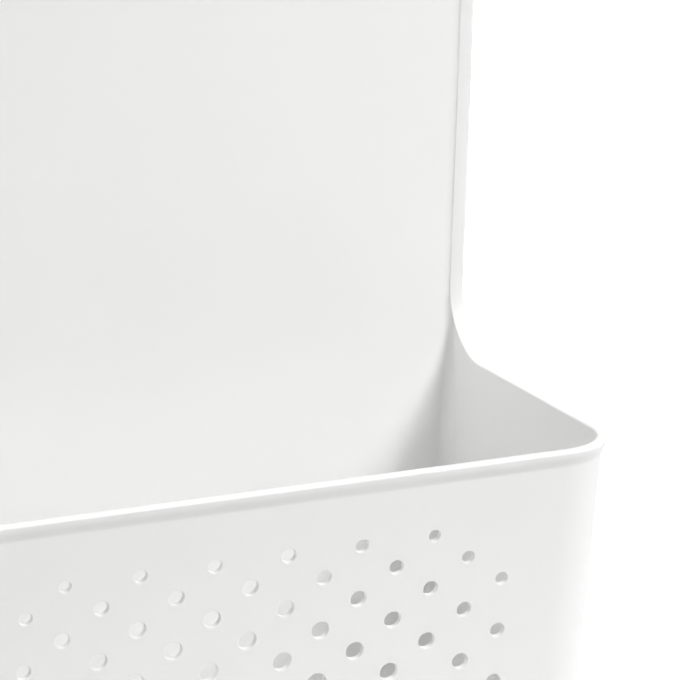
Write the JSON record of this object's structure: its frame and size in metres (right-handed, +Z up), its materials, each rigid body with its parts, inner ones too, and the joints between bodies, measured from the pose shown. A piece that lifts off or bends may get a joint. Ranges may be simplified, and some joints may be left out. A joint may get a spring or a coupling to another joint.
{
  "type": "cabinet door organizer",
  "caption": "White moulded basket with a tall flanged back panel, a graded hole pattern in its leaning front, and foam-lined door hooks in keyhole slots.",
  "frame": {"origin": "centre of the bounding box in X and Y, at the underside of the basket floor", "axes": "+Z up, -Y towards the user (the basket's front), +X to the right seen from the back of the door; symmetric about X = 0"},
  "size_m": [0.2632, 0.1534, 0.3523],
  "materials": {
    "white_plastic": "semi-gloss white moulded polypropylene",
    "coated_steel": "smooth white powder coat",
    "stud_steel": "plain zinc-plated steel",
    "grey_foam": "matt closed-cell foam",
    "bumper_rubber": "satin translucent rubber"
  },
  "bodies": {
    "basket": {"basket_body": "white_plastic", "left_rear_bumper": "bumper_rubber", "right_rear_bumper": "bumper_rubber"},
    "left_hook": {"left_door_hook": "coated_steel", "left_lower_stud": "stud_steel", "left_upper_stud": "stud_steel", "left_shank_foam": "grey_foam", "left_top_foam": "grey_foam", "left_tab_foam": "grey_foam"},
    "right_hook": {"right_door_hook": "coated_steel", "right_lower_stud": "stud_steel", "right_upper_stud": "stud_steel", "right_shank_foam": "grey_foam", "right_top_foam": "grey_foam", "right_tab_foam": "grey_foam"}
  },
  "joints": [
    {"name": "left_hook_slide", "type": "slide", "parent": "basket", "child": "left_hook", "axis": [0, 0, -1], "range_m": [0, 0.01]},
    {"name": "right_hook_slide", "type": "slide", "parent": "basket", "child": "right_hook", "axis": [0, 0, -1], "range_m": [0, 0.01]}
  ]
}
